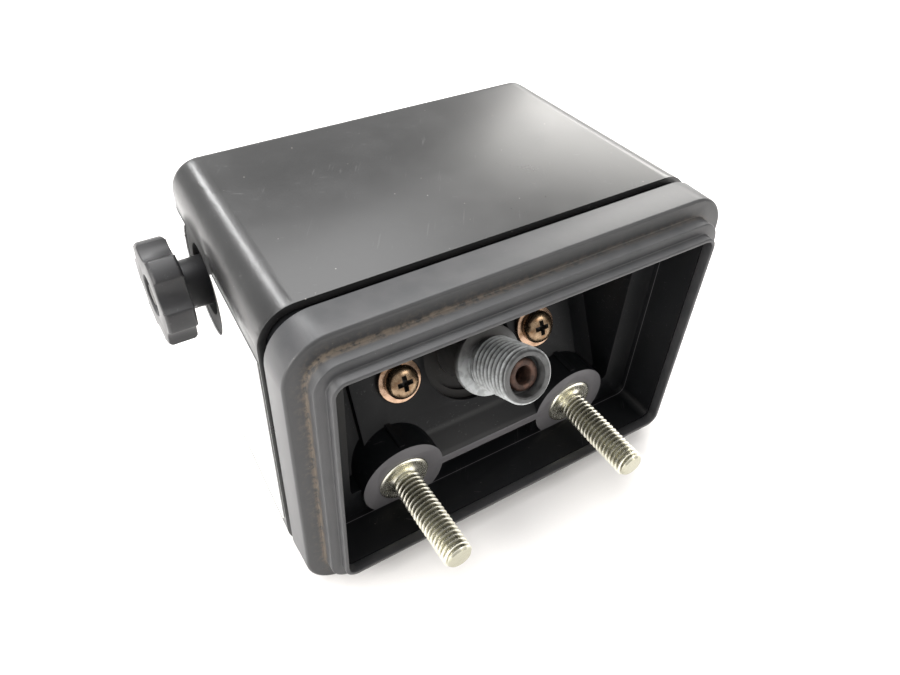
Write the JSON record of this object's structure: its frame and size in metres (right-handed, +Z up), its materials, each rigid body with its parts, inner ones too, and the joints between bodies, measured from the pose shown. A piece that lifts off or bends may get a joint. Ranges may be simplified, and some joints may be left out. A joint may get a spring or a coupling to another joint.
{
  "type": "pressure switch",
  "caption": "Adjustable pressure switch in a black cover, with a flanged opening, sealing gasket, two mounting studs, an angled threaded pressure port and a side setting knob.",
  "frame": {"origin": "Midway between the two mounting stud axes, in the plane of the gasket's sealing lip.", "axes": "+Y points from the sealing lip into the switch, against the way the studs point; +X runs along the switch from the knob side; +Z is up."},
  "size_m": [0.0981, 0.078, 0.0632],
  "materials": {
    "housing_plastic": "moulded black plastic, slightly dusty",
    "cover_plastic": "satin black moulded plastic with fine scuffs",
    "gasket_rubber": "dark grey rubber with dirt in the steps",
    "zinc_yellow": "yellow passivated zinc, worn",
    "zinc_dull": "dull oxidised zinc",
    "copper": "tarnished copper",
    "steel": "bright zinc plated sheet steel",
    "label_foil": "pale satin foil",
    "knob_plastic": "satin black moulded plastic",
    "cam_plastic": "natural acetal",
    "switch_plastic": "dark phenolic moulding",
    "brass_parts": "machined brass",
    "bronze": "spring bronze"
  },
  "bodies": {
    "body": {"base_housing": "housing_plastic", "gasket": "gasket_rubber", "mounting_studs": "zinc_yellow", "cover": "cover_plastic", "label_plate": "label_foil", "cover_screws": "zinc_yellow", "cable_grommet": "gasket_rubber", "spindle_bush": "brass_parts", "frame_bracket": "steel", "frame_screws": "zinc_yellow", "frame_washers": "zinc_dull", "earth_screw": "zinc_yellow", "port_connector": "zinc_dull", "port_tube": "copper", "port_seal": "gasket_rubber", "bellows_housing": "zinc_dull", "housing_cap": "steel", "bellows": "bronze", "lever_pin": "steel", "setting_pin": "steel", "range_spring": "steel", "switch_case": "switch_plastic", "terminals": "brass_parts", "terminal_screws": "zinc_dull", "switch_screws": "zinc_dull"},
    "knob_shaft": {"knob": "knob_plastic", "knob_screw": "steel", "spindle": "steel", "spindle_clip": "steel", "cam": "cam_plastic"},
    "setting_arm": {"setting_lever": "steel"},
    "lever_arm": {"main_lever": "steel"},
    "pressure_pin": {"push_pin": "brass_parts"},
    "contact_button": {"switch_button": "cam_plastic"}
  },
  "joints": [
    {"name": "knob_turn", "type": "hinge", "parent": "body", "child": "knob_shaft", "pos_m": [0, 0.0481, 0.033], "axis": [1, 0, 0], "range_deg": [0, 270]},
    {"name": "setting_lever_tilt", "type": "hinge", "parent": "body", "child": "setting_arm", "pos_m": [0, 0.05747, 0.01216], "axis": [-1, 0, 0], "range_deg": [0, 7.2]},
    {"name": "main_lever_tilt", "type": "hinge", "parent": "body", "child": "lever_arm", "pos_m": [0, 0.0417, -0.00351], "axis": [-1, 0, 0], "range_deg": [0, 3.4], "deforming": ["range_spring"]},
    {"name": "push_pin_slide", "type": "slide", "parent": "body", "child": "pressure_pin", "axis": [0, 0.8988, -0.4384], "range_m": [0, 0.0005]},
    {"name": "switch_button_press", "type": "slide", "parent": "body", "child": "contact_button", "axis": [0, 0.8988, -0.4384], "range_m": [0, 0.000944]}
  ],
  "couplings": [
    {"joint": "setting_lever_tilt", "follows": "knob_turn", "ratio": 0.026667},
    {"joint": "push_pin_slide", "follows": "main_lever_tilt", "m_per_rad": 0.008426},
    {"joint": "switch_button_press", "follows": "main_lever_tilt", "m_per_rad": 0.0159}
  ]
}
